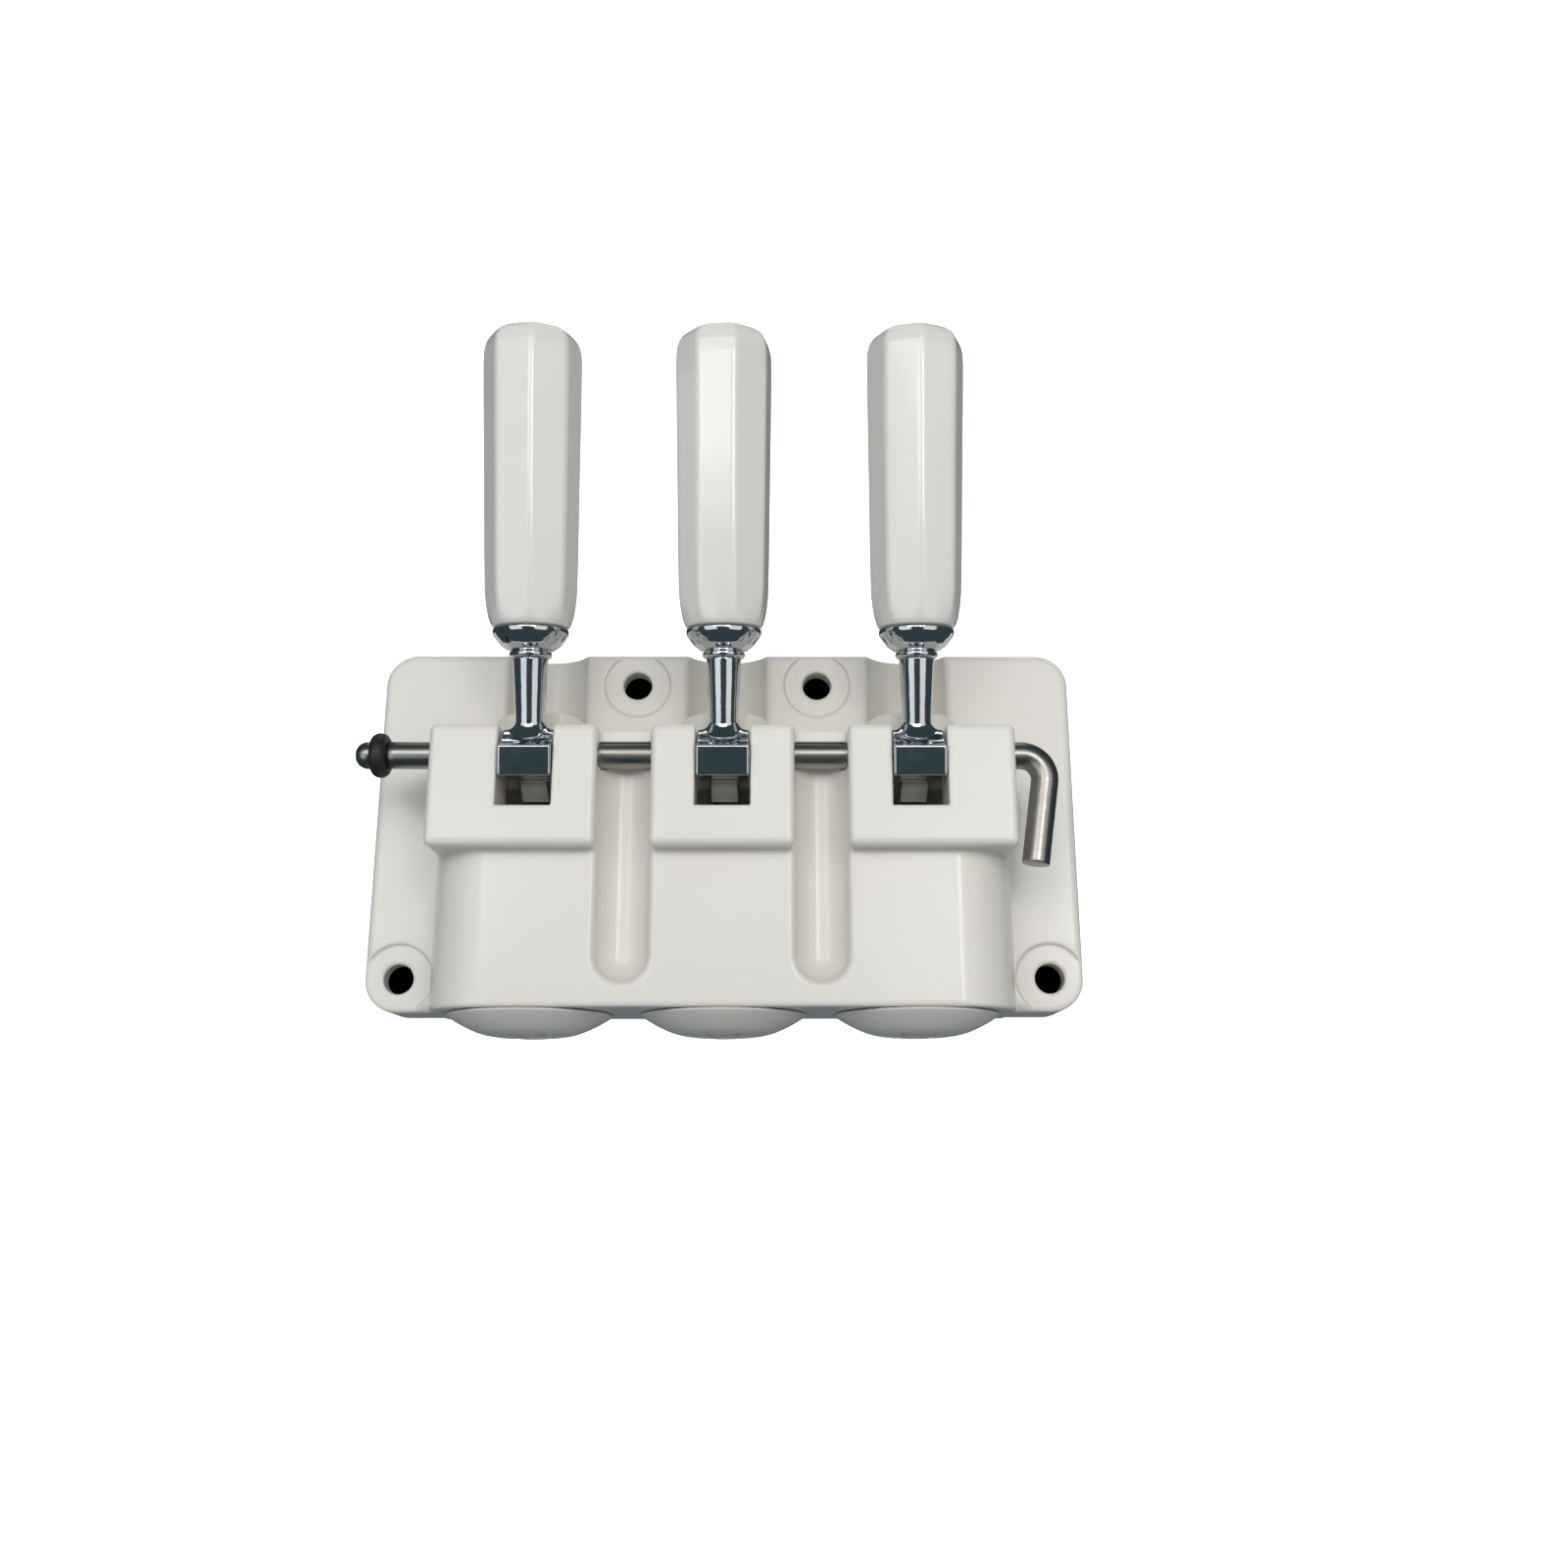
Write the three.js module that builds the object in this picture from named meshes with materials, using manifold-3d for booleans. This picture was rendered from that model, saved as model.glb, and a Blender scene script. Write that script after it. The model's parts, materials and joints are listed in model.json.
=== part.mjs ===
// Three-lever dispensing head: a moulded valve block with three vertical draw valves side by side.
// Each lever hinges on one long cross pin; its tail lifts a plunger, which opens the nozzle below it.
// Millimetres, +Z up, +X to the right as the front is faced, front towards -Y, origin at the centre of
// the back face.

import * as THREE from "three";
import { RoundedBoxGeometry } from "three/addons/geometries/RoundedBoxGeometry.js";
import { mergeVertices } from "three/addons/utils/BufferGeometryUtils.js";
import Module from "manifold-3d";

const wasm = await Module();
wasm.setup();

// ---- driving dimensions ------------------------------------------------------------------------

const VALVES = { left: -57, center: 0, right: 57 };
const GAP = 0.3;

const PLATE = { halfX: 108.5, halfZ: 56.7, depth: 20, corner: 10, edge: 1.6 };
const HOUSING = { halfX: 85.5, depth: 48.8, corner: 19, top: 23.1, bottom: -57.9 };
const HINGE = { depth: 54.9, bottom: -13.1, top: 23.1, edge: 2, innerX: 20.8, outerX: 84.8 };
const SLOT = { width: 16, bottom: -1.3 };
const POCKET = { x: 28.5, radius: 7.7, top: 15.7, end: -51 };

const STUD = { upperX: 28.5, upperZ: 46.4, lowerX: 98.3, lowerZ: -46.7, radius: 4.5, seat: 10.4, seatDepth: 0.8 };
const CYLINDER = { x: 54, z: -4, radius: 36, depth: 7, boss: 9, bossBore: 5, bossDepth: 12 };
const SEAL = { inner: 40.6, outer: 44.8, groove: 3, thick: 2.6 };
const PORT = { radius: 6, z: -41, innerRadius: 3.8, innerX: 31, innerZ: -24 };

const VALVE_Y = -26.2;
const BORE = 14.1;
const ROD = { radius: 13.8, bottom: -56, top: 31.5, chamfer: 0.9, flatY: 11.4, flatBottom: -15 };
const ROD_RING = { section: 0.92, centre: 13.07, root: 12.1, halfGroove: 1.15, heights: [-52.4, -29] };

const PIN = { y: -45.9, z: 15.7, radius: 4, hole: 4.15, left: -107.8, bendX: 95.5, bend: 7, legLength: 33, lean: 8.7 };
const PIN_RING = { x: -100.7, root: 2.5, inner: 2.6, outer: 6.6, halfWidth: 2.4 };

const LEVER_LEAN = 12;
const TAIL = { angle: -42, length: 21, half: 2.4, width: 8.6, tip: 4.2 };
const STEM = { flare: 6, neck: 4.4, top: 5.2, shoulder: 28.4, stud: 3, studTop: 64 };
const FERRULE = { bottom: 28.7, top: 37.2, radius: 11.1, bore: 3.3 };
const GRIP = { bottom: 37.5, top: 126.5, radius: 14.5, lowRadius: 13.6, footRadius: 12, boreTop: 67 };
const GRIP_TURN = { left: 8, center: 14, right: 3 };

const CAP = { radius: 24.8, rimTop: -58.2, bottom: -65.2, flat: 9, spigot: 19.2, spigotTop: -50.6, bore: 14.5 };
const CAP_SEAT = { radius: 19.5, top: -50.2, floor: -58.6, starOuter: 10.4, starInner: 5.4, points: 6 };
const CAP_RING = { z: -53.6, section: 0.92, centre: 18.4, root: 17.4, halfGroove: 1.15 };

// ---- shape helpers -----------------------------------------------------------------------------

const radians = THREE.MathUtils.degToRad;

function solid(geometry) {
  const bare = geometry.clone();
  bare.deleteAttribute("normal");
  bare.deleteAttribute("uv");
  const merged = mergeVertices(bare, 1e-4);
  const mesh = new wasm.Mesh({
    numProp: 3,
    vertProperties: merged.attributes.position.array,
    triVerts: new Uint32Array(merged.index.array),
  });
  return new wasm.Manifold(mesh);
}

function surface(body) {
  const mesh = body.getMesh();
  const geometry = new THREE.BufferGeometry();
  geometry.setAttribute("position", new THREE.BufferAttribute(new Float32Array(mesh.vertProperties), 3));
  geometry.setIndex(new THREE.BufferAttribute(new Uint32Array(mesh.triVerts), 1));
  geometry.computeVertexNormals();
  return geometry;
}

function join(bodies) {
  return bodies.reduce((whole, body) => whole.add(body));
}

function cut(body, tools) {
  return tools.reduce((rest, tool) => rest.subtract(tool), body);
}

// A profile of [radius, height] pairs turned about the Z axis.
function turned(profile, segments = 48) {
  const points = profile.map(([radius, height]) => new THREE.Vector2(radius, height));
  return solid(new THREE.LatheGeometry(points, segments).rotateX(Math.PI / 2));
}

// A profile of [y, z] pairs, extruded across X and centred on x = 0.
function acrossX(profile, width) {
  const shape = new THREE.Shape(profile.map(([y, z]) => new THREE.Vector2(y, z)));
  const geometry = new THREE.ExtrudeGeometry(shape, { depth: width, bevelEnabled: false });
  const basis = new THREE.Matrix4().makeBasis(
    new THREE.Vector3(0, 1, 0),
    new THREE.Vector3(0, 0, 1),
    new THREE.Vector3(1, 0, 0),
  );
  return solid(geometry.translate(0, 0, -width / 2).applyMatrix4(basis));
}

function box([x0, y0, z0], [x1, y1, z1]) {
  const geometry = new THREE.BoxGeometry(x1 - x0, y1 - y0, z1 - z0);
  return solid(geometry.translate((x0 + x1) / 2, (y0 + y1) / 2, (z0 + z1) / 2));
}

// A round bar or drill between two points.
function rod(radius, from, to, segments = 24) {
  const start = new THREE.Vector3(...from);
  const along = new THREE.Vector3(...to).sub(start);
  const geometry = new THREE.CylinderGeometry(radius, radius, along.length(), segments);
  const turn = new THREE.Quaternion().setFromUnitVectors(new THREE.Vector3(0, 1, 0), along.clone().normalize());
  geometry.translate(0, along.length() / 2, 0).applyQuaternion(turn);
  return solid(geometry.translate(start.x, start.y, start.z));
}

function arc(centreY, centreZ, radius, fromDegrees, toDegrees, steps) {
  return Array.from({ length: steps + 1 }, (_, i) => {
    const angle = radians(fromDegrees + ((toDegrees - fromDegrees) * i) / steps);
    return [centreY + radius * Math.cos(angle), centreZ + radius * Math.sin(angle)];
  });
}

function ring(section, centre, segments = 28) {
  return new THREE.TorusGeometry(centre, section, 6, segments);
}

const finishes = {
  moulding: { color: 0xdedace, roughness: 0.35, metalness: 0 },
  grip: { color: 0xe2e2dc, roughness: 0.2, metalness: 0 },
  chrome: { color: 0xc9ccd0, roughness: 0.06, metalness: 1 },
  stainless: { color: 0xa9a9a8, roughness: 0.28, metalness: 1 },
  rubber: { color: 0x17181a, roughness: 0.6, metalness: 0 },
};

const group = new THREE.Group();
group.name = "dispensing_head";

function addPart(parent, name, geometry, finish) {
  const mesh = new THREE.Mesh(geometry, new THREE.MeshStandardMaterial(finishes[finish]));
  mesh.name = name;
  parent.add(mesh);
  return mesh;
}

// ---- valve body --------------------------------------------------------------------------------

function plateBlank() {
  const { halfX, halfZ, depth, corner, edge } = PLATE;
  const inset = edge;
  const [w, h, r] = [halfX - inset, halfZ - inset, corner - inset];
  const shape = new THREE.Shape();
  shape.absarc(w - r, h - r, r, 0, Math.PI / 2);
  shape.absarc(-w + r, h - r, r, Math.PI / 2, Math.PI);
  shape.absarc(-w + r, -h + r, r, Math.PI, 1.5 * Math.PI);
  shape.absarc(w - r, -h + r, r, 1.5 * Math.PI, 2 * Math.PI);
  const geometry = new THREE.ExtrudeGeometry(shape, {
    depth,
    bevelThickness: edge,
    bevelSize: inset,
    bevelSegments: 2,
    curveSegments: 6,
  });
  geometry.rotateX(Math.PI / 2).translate(0, edge, 0);
  return solid(geometry).subtract(box([-halfX - 9, 0, -halfZ - 9], [halfX + 9, 9, halfZ + 9]));
}

function housingBlank() {
  const { halfX, depth, corner, top, bottom } = HOUSING;
  const shape = new THREE.Shape();
  shape.moveTo(-halfX, -PLATE.depth / 2);
  shape.lineTo(-halfX, -depth + corner);
  shape.absarc(-halfX + corner, -depth + corner, corner, Math.PI, 1.5 * Math.PI);
  shape.absarc(halfX - corner, -depth + corner, corner, 1.5 * Math.PI, 2 * Math.PI);
  shape.lineTo(halfX, -PLATE.depth / 2);
  const geometry = new THREE.ExtrudeGeometry(shape, { depth: top - bottom, bevelEnabled: false, curveSegments: 8 });
  return solid(geometry.translate(0, 0, bottom));
}

function hingeBlank(x0, x1) {
  const { depth, bottom, top, edge } = HINGE;
  const [width, length, height] = [x1 - x0, depth - PLATE.depth / 2, top - bottom];
  const geometry = new RoundedBoxGeometry(width, length, height, 2, edge);
  geometry.translate((x0 + x1) / 2, -depth + length / 2, (bottom + top) / 2);
  return solid(geometry);
}

function valveCuts(x) {
  const slotHalf = SLOT.width / 2;
  return [
    rod(BORE, [x, VALVE_Y, -80], [x, VALVE_Y, 80], 36),
    rod(CAP_SEAT.radius, [x, VALVE_Y, -80], [x, VALVE_Y, CAP_SEAT.top], 36),
    box([x - slotHalf, -70, SLOT.bottom], [x + slotHalf, VALVE_Y, 40]),
  ];
}

function pocketCuts(x) {
  const { radius, top, end } = POCKET;
  const centre = end + radius;
  const ball = new THREE.SphereGeometry(radius, 20, 10).rotateX(Math.PI / 2);
  return [
    rod(radius, [x, -HOUSING.depth, centre], [x, -HOUSING.depth, top], 20),
    solid(ball.translate(x, -HOUSING.depth, centre)),
  ];
}

function studCuts(x, z) {
  const front = -PLATE.depth;
  return [
    rod(STUD.radius, [x, 5, z], [x, front - 5, z], 24),
    rod(STUD.seat, [x, front + STUD.seatDepth, z], [x, front - 5, z], 28),
  ];
}

function cylinderCuts(side) {
  const x = side * CYLINDER.x;
  const { z, radius, depth, boss, bossBore, bossDepth } = CYLINDER;
  const well = rod(radius, [x, 5, z], [x, -depth, z], 40);
  const bossBlank = rod(boss, [x, 1, z], [x, -depth - 1, z], 24);
  const bossTop = box([x - 20, -depth / 2, z - 20], [x + 20, 9, z + 20]);
  const groove = rod(SEAL.outer, [x, 5, z], [x, -SEAL.groove, z], 40);
  const grooveCore = rod(SEAL.inner, [x, 9, z], [x, -SEAL.groove - 1, z], 40);
  return [
    well.subtract(bossBlank.subtract(bossTop)),
    rod(bossBore, [x, 5, z], [x, -bossDepth, z], 24),
    groove.subtract(grooveCore),
    rod(PORT.radius, [side * VALVES.right, 5 - depth, PORT.z + 6], [side * VALVES.right, VALVE_Y, PORT.z], 20),
    rod(PORT.innerRadius, [side * PORT.innerX, 1 - depth, PORT.innerZ], [0, VALVE_Y, PORT.z], 20),
  ];
}

function valveBody() {
  const blank = join([
    plateBlank(),
    housingBlank(),
    hingeBlank(-HINGE.outerX, -VALVES.right + HINGE.innerX),
    hingeBlank(-HINGE.innerX, HINGE.innerX),
    hingeBlank(VALVES.right - HINGE.innerX, HINGE.outerX),
  ]);
  const cuts = [
    ...Object.values(VALVES).flatMap(valveCuts),
    ...pocketCuts(-POCKET.x),
    ...pocketCuts(POCKET.x),
    rod(PIN.hole, [-120, PIN.y, PIN.z], [120, PIN.y, PIN.z]),
    ...cylinderCuts(-1),
    ...cylinderCuts(1),
  ];
  for (const side of [-1, 1]) {
    cuts.push(...studCuts(side * STUD.upperX, STUD.upperZ), ...studCuts(side * STUD.lowerX, STUD.lowerZ));
  }
  return surface(cut(blank, cuts));
}

// ---- plunger -----------------------------------------------------------------------------------

// The slot that takes the lever's tail flares towards the front, to clear the tail as it swings.
function tailSlot() {
  const swing = radians(LEVER_LEAN + TAIL.angle);
  const z = PIN.z + TAIL.length * Math.sin(swing);
  const [floor, throat, mouth] = [6.5, -3.8, -15];
  const [half, mouthHalf] = [TAIL.tip + 0.4, 11];
  const profile = [
    [mouth, z - mouthHalf],
    [throat, z - half],
    [floor, z - half],
    [floor, z + half],
    [throat, z + half],
    [mouth, z + mouthHalf],
  ];
  return acrossX(profile, 40);
}

function plunger() {
  const { radius, bottom, top, chamfer, flatY, flatBottom } = ROD;
  const { root, halfGroove, heights } = ROD_RING;
  const grooves = heights.flatMap((z) => [
    [radius, z - halfGroove],
    [root, z - halfGroove],
    [root, z + halfGroove],
    [radius, z + halfGroove],
  ]);
  const profile = [
    [0, bottom],
    [radius - chamfer, bottom],
    [radius, bottom + chamfer],
    ...grooves,
    [radius, top - chamfer],
    [radius - chamfer, top],
    [0, top],
  ];
  const flat = box([-20, -30, flatBottom], [20, -flatY, top + 10]);
  return surface(cut(turned(profile, 36), [flat, tailSlot()]));
}

// ---- lever -------------------------------------------------------------------------------------

// Lever shapes stand about the pin axis: z runs up along the stem and -y is the pull direction.
function leverCasting() {
  const block = acrossX([[-11, -6.4], [-11, 2.4], [5.45, 8.2], ...arc(0, 0, 7.7, 10, -100, 12)], 15.4);
  const swing = radians(TAIL.angle);
  const [tipY, tipZ] = [TAIL.length * Math.cos(swing), TAIL.length * Math.sin(swing)];
  const [sideY, sideZ] = [-TAIL.half * Math.sin(swing), TAIL.half * Math.cos(swing)];
  const bar = [[sideY, sideZ], [-sideY, -sideZ], [tipY - sideY, tipZ - sideZ], [tipY + sideY, tipZ + sideZ]];
  const tail = acrossX(bar, TAIL.width);
  const tip = rod(TAIL.tip, [-TAIL.width / 2, tipY, tipZ], [TAIL.width / 2, tipY, tipZ], 28);
  const stem = turned([
    [0, 4],
    [STEM.flare, 4],
    [STEM.flare, 6.8],
    [5.3, 8.2],
    [4.6, 10],
    [STEM.neck, 12.5],
    [STEM.top, STEM.shoulder],
    [STEM.stud, STEM.shoulder],
    [STEM.stud, STEM.studTop - 1],
    [STEM.stud - 1, STEM.studTop],
    [0, STEM.studTop],
  ], 22);
  return surface(join([block, tail, tip, stem]).subtract(rod(PIN.hole, [-10, 0, 0], [10, 0, 0], 24)));
}

function ferrule() {
  const { bottom, top, radius, bore } = FERRULE;
  const profile = [
    [bore, bottom],
    [5.7, bottom],
    [6.3, bottom + 0.5],
    [6.3, bottom + 1.5],
    [5.8, bottom + 1.9],
    [7.2, bottom + 2.5],
    [8.8, bottom + 3.8],
    [10, bottom + 5.3],
    [radius, bottom + 7],
    [radius, top],
    [bore, top],
    [bore, bottom],
  ];
  return surface(turned(profile, 24));
}

// Eight flats between rounded shoulders; the upper end is a little wider than the lower.
function grip() {
  const { bottom, top, radius, lowRadius, footRadius, boreTop } = GRIP;
  const profile = [
    [0, bottom],
    [footRadius - 0.8, bottom],
    [footRadius, bottom + 1],
    [lowRadius - 0.7, bottom + 4.5],
    [lowRadius, bottom + 11],
    [radius, top - 12],
    [radius - 0.2, top - 6],
    [radius - 1.2, top - 3],
    [radius - 3.2, top - 1],
    [radius - 6, top],
    [0, top],
  ];
  const bore = rod(FERRULE.bore, [0, 0, bottom - 5], [0, 0, boreTop], 24);
  return surface(turned(profile, 8).subtract(bore));
}

// ---- pin ---------------------------------------------------------------------------------------

function pivotPin() {
  const { y, z, radius, left, bendX, bend, legLength, lean } = PIN;
  const tilt = radians(lean);
  const foot = new THREE.Vector3(bendX - legLength * Math.sin(tilt), y, z - legLength * Math.cos(tilt));
  const corner = new THREE.Vector3(bendX, y, z);
  const reach = bend * Math.tan((Math.PI / 2 + tilt) / 2);
  const legStart = foot.clone().sub(corner).normalize().multiplyScalar(reach).add(corner);
  const centre = new THREE.Vector3(bendX - reach, y, z - bend);
  const path = new THREE.CurvePath();
  path.add(new THREE.LineCurve3(new THREE.Vector3(left + 12, y, z), new THREE.Vector3(bendX - reach, y, z)));
  const sweep = Math.PI / 2 + tilt;
  const steps = 8;
  const onBend = (i) => {
    const angle = (sweep * i) / steps;
    return centre.clone().add(new THREE.Vector3(bend * Math.sin(angle), 0, bend * Math.cos(angle)));
  };
  for (let i = 0; i < steps; i += 1) {
    path.add(new THREE.LineCurve3(onBend(i), i + 1 < steps ? onBend(i + 1) : legStart));
  }
  path.add(new THREE.LineCurve3(legStart, foot));
  const circle = new THREE.Shape().absarc(0, 0, radius, 0, 2 * Math.PI);
  const bar = new THREE.ExtrudeGeometry(circle, { steps: 30, curveSegments: 8, extrudePath: path });
  const tip = turned([
    [0, 0],
    [2, 0.2],
    [3.2, 1],
    [radius, 2.8],
    [radius, 4.9],
    [PIN_RING.root, 4.9],
    [PIN_RING.root, 9.3],
    [radius, 9.3],
    [radius, 13],
    [0, 13],
  ], 16);
  const toX = new THREE.Matrix4().makeRotationY(Math.PI / 2).setPosition(left, y, z);
  return surface(join([solid(bar), tip.transform(toX.toArray())]));
}

function pinRing() {
  const { inner, outer, halfWidth } = PIN_RING;
  const [middle, half] = [(inner + outer) / 2, (outer - inner) / 2];
  const loop = arc(0, 0, 1, 0, 360, 12).map(([a, b]) => [middle + half * a, halfWidth * b]);
  return surface(turned(loop, 20));
}

// ---- nozzle cap --------------------------------------------------------------------------------

function starShape() {
  const { starOuter, starInner, points } = CAP_SEAT;
  const corners = [];
  for (let i = 0; i < points; i += 1) {
    const axis = ((i + 0.5) * 2 * Math.PI) / points + Math.PI / 2;
    const side = Math.PI / points;
    const half = 0.75;
    for (const s of [-1, 1]) {
      const [c, n] = [Math.cos(axis), Math.sin(axis)];
      corners.push(new THREE.Vector2(starOuter * c - s * half * n, starOuter * n + s * half * c));
    }
    corners.push(new THREE.Vector2(starInner * Math.cos(axis + side), starInner * Math.sin(axis + side)));
  }
  return new THREE.Shape(corners);
}

function nozzleCap() {
  const { radius, rimTop, bottom, flat, spigot, spigotTop, bore } = CAP;
  const rise = (radius ** 2 - flat ** 2) / (rimTop - bottom);
  const sphereZ = (rimTop + bottom + rise) / 2;
  const sphereRadius = Math.hypot(flat, bottom - sphereZ);
  const steps = 5;
  const dome = Array.from({ length: steps + 1 }, (_, i) => {
    const z = bottom + ((rimTop - 1 - bottom) * i) / steps;
    return [Math.sqrt(sphereRadius ** 2 - (z - sphereZ) ** 2), z];
  });
  const { z: ringZ, root, halfGroove } = CAP_RING;
  const profile = [
    [0, bottom],
    ...dome,
    [radius, rimTop - 0.5],
    [radius - 0.4, rimTop],
    [spigot, rimTop],
    [spigot, ringZ - halfGroove],
    [root, ringZ - halfGroove],
    [root, ringZ + halfGroove],
    [spigot, ringZ + halfGroove],
    [spigot, spigotTop],
    [0, spigotTop],
  ];
  const star = new THREE.ExtrudeGeometry(starShape(), { depth: 20, bevelEnabled: false });
  const passage = rod(bore, [0, 0, CAP_SEAT.floor], [0, 0, 0], 32);
  return surface(cut(turned(profile, 32), [passage, solid(star.translate(0, 0, bottom - 5))]));
}

// ---- assembly ----------------------------------------------------------------------------------

addPart(group, "valve_body", valveBody(), "moulding");

const [plungerShape, castingShape, ferruleShape, gripShape] = [plunger(), leverCasting(), ferrule(), grip()];
const [capShape, plungerRing] = [nozzleCap(), ring(ROD_RING.section, ROD_RING.centre)];
const capRing = ring(CAP_RING.section, CAP_RING.centre);

for (const [side, x] of Object.entries(VALVES)) {
  const valve = new THREE.Group();
  valve.position.set(x, VALVE_Y, 0);
  group.add(valve);
  addPart(valve, "plunger_" + side, plungerShape, "moulding");
  addPart(valve, "plunger_lower_ring_" + side, plungerRing, "rubber").position.z = ROD_RING.heights[0];
  addPart(valve, "plunger_upper_ring_" + side, plungerRing, "rubber").position.z = ROD_RING.heights[1];
  addPart(valve, "nozzle_cap_" + side, capShape, "moulding");
  addPart(valve, "nozzle_ring_" + side, capRing, "rubber").position.z = CAP_RING.z;

  const lever = new THREE.Group();
  lever.position.set(x, PIN.y, PIN.z);
  lever.rotation.x = radians(LEVER_LEAN);
  group.add(lever);
  addPart(lever, "lever_casting_" + side, castingShape, "chrome");
  addPart(lever, "ferrule_" + side, ferruleShape, "chrome");
  addPart(lever, "grip_" + side, gripShape, "grip").rotation.z = radians(GRIP_TURN[side]);
}

addPart(group, "pivot_pin", pivotPin(), "stainless");
const retainingRing = addPart(group, "pin_retaining_ring", pinRing(), "rubber");
retainingRing.position.set(PIN_RING.x, PIN.y, PIN.z);
retainingRing.rotation.y = Math.PI / 2;

for (const [side, sign] of [["left", -1], ["right", 1]]) {
  const { inner, outer, groove, thick } = SEAL;
  const [a, b] = [inner + 0.4, outer - 0.4];
  const profile = [[a, 0], [b, 0], [b, thick], [a, thick], [a, 0]];
  const gasket = addPart(group, "cylinder_seal_" + side, surface(turned(profile, 40)), "rubber");
  gasket.position.set(sign * CYLINDER.x, -groove + GAP, CYLINDER.z);
  gasket.rotation.x = -Math.PI / 2;
}

export default group;
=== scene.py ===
"""Visual model of the three-lever dispensing head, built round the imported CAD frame.

The moulded and cast pieces are distance fields turned into meshes, so that their edges and inside
corners are rounded as they are on a moulding. Lengths inside the builders are millimetres.
"""

import json
import math

import bmesh
import bpy
import numpy as np
from mathutils import Matrix, Vector


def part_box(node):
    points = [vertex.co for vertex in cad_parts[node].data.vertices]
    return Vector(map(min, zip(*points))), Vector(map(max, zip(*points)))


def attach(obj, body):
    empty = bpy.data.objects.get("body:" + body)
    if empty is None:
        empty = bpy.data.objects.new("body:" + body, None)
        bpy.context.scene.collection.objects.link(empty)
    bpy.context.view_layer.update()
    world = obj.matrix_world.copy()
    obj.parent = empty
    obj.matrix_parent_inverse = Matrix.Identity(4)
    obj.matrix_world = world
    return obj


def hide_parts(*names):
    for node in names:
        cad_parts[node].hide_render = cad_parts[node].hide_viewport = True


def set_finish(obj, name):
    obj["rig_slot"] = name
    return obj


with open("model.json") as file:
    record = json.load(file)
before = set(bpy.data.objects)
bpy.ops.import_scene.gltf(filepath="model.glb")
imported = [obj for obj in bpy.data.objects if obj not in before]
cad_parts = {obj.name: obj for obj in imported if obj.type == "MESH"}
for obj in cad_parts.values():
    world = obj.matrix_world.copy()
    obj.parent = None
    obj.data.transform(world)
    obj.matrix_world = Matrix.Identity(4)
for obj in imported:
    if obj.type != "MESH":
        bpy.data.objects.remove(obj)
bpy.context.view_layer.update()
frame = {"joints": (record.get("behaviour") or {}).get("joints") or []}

MM = 0.001
SIDES = ("left", "center", "right")


def node_box(name):
    lo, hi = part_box(name)
    return np.array(lo) / MM, np.array(hi) / MM


def joint(name):
    return next(j for j in frame["joints"] if j["name"] == name)


# ---- dimensions read from the frame ----------------------------------------------------------

BODY_LO, BODY_HI = node_box("valve_body")
PIN_LO, PIN_HI = node_box("pivot_pin")
VALVE_X = {s: joint(f"lever_{s}_pull")["pos_m"][0] / MM for s in SIDES}
PIN_Y, PIN_Z = (v / MM for v in joint("lever_left_pull")["pos_m"][1:])
PLUNGER_LO, PLUNGER_HI = node_box("plunger_center")
CAP_LO, CAP_HI = node_box("nozzle_cap_center")
VALVE_Y = (CAP_LO[1] + CAP_HI[1]) / 2

# ---- distance fields -------------------------------------------------------------------------


def join(a, b, r=0.0):
    """Union of two fields with an inside fillet of radius r."""
    if r <= 0:
        return np.minimum(a, b)
    u, v = np.maximum(r - a, 0), np.maximum(r - b, 0)
    return np.maximum(r, np.minimum(a, b)) - np.hypot(u, v)


def both(a, b, r=0.0):
    """Intersection of two fields with an outside edge of radius r."""
    if r <= 0:
        return np.maximum(a, b)
    u, v = np.maximum(r + a, 0), np.maximum(r + b, 0)
    return np.minimum(-r, np.maximum(a, b)) + np.hypot(u, v)


def less(a, b, r=0.0):
    return both(a, -b, r)


def rect(u, v, half_u, half_v, r=0.0):
    qu, qv = np.abs(u) - (half_u - r), np.abs(v) - (half_v - r)
    outside = np.hypot(np.maximum(qu, 0), np.maximum(qv, 0))
    return outside + np.minimum(np.maximum(qu, qv), 0) - r


def block(p, lo, hi, r=0.0):
    q = [np.abs(c - (a + b) / 2) - ((b - a) / 2 - r) for c, a, b in zip(p, lo, hi)]
    outside = np.sqrt(sum(np.maximum(c, 0) ** 2 for c in q))
    return outside + np.minimum(np.maximum(np.maximum(q[0], q[1]), q[2]), 0) - r


def slab(c, lo, hi):
    return np.maximum(lo - c, c - hi)


def polygon(u, v, corners):
    """Distance to a closed polygon in the (u, v) plane."""
    best = np.full(np.shape(u), np.inf, np.float32)
    inside = np.zeros(np.shape(u), bool)
    for (u0, v0), (u1, v1) in zip(corners, corners[1:] + corners[:1]):
        du, dv = u1 - u0, v1 - v0
        t = np.clip(((u - u0) * du + (v - v0) * dv) / (du * du + dv * dv), 0, 1)
        best = np.minimum(best, (u - u0 - t * du) ** 2 + (v - v0 - t * dv) ** 2)
        crosses = ((v0 <= v) != (v1 <= v)) & (u < u0 + (v - v0) * du / (dv if dv else 1e-9))
        inside ^= crosses
    return np.where(inside, -1, 1) * np.sqrt(best)


CORNERS = [(i, j, k) for i in (0, 1) for j in (0, 1) for k in (0, 1)]
EDGES = [
    (a, b) for a in CORNERS for b in CORNERS if a < b and np.abs(np.subtract(a, b)).sum() == 1
]


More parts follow.
